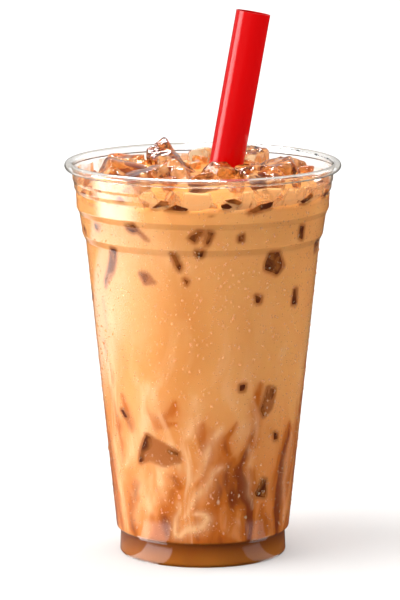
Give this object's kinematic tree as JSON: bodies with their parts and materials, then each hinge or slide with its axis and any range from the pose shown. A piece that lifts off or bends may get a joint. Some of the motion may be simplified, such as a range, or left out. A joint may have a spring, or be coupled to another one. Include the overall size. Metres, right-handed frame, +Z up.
{
  "type": "iced latte",
  "caption": "Iced milk coffee in a clear plastic cup with a curled lip, stepped collar and foot ring, topped with floating ice and a wide leaning straw.",
  "frame": {"origin": "on the cup's axis, at the surface that its foot ring stands on", "axes": "+Z up along the cup's axis, -Y to the front, and the straw leans towards +X"},
  "size_m": [0.098, 0.098, 0.1942],
  "materials": {
    "clear_plastic": "clear, glossy",
    "milk_coffee": "wet liquid surface",
    "straw_plastic": "smooth, glossy",
    "ice": "wet, clear with tan liquid on it"
  },
  "bodies": {
    "root": {"cup": "clear_plastic", "drink": "milk_coffee", "straw": "straw_plastic", "ice_01": "ice", "ice_02": "ice", "ice_03": "ice", "ice_04": "ice", "ice_05": "ice", "ice_06": "ice", "ice_07": "ice", "ice_08": "ice", "ice_09": "ice", "ice_10": "ice", "ice_11": "ice", "ice_12": "ice", "ice_13": "ice", "ice_14": "ice", "ice_15": "ice", "ice_16": "ice"}
  },
  "joints": []
}
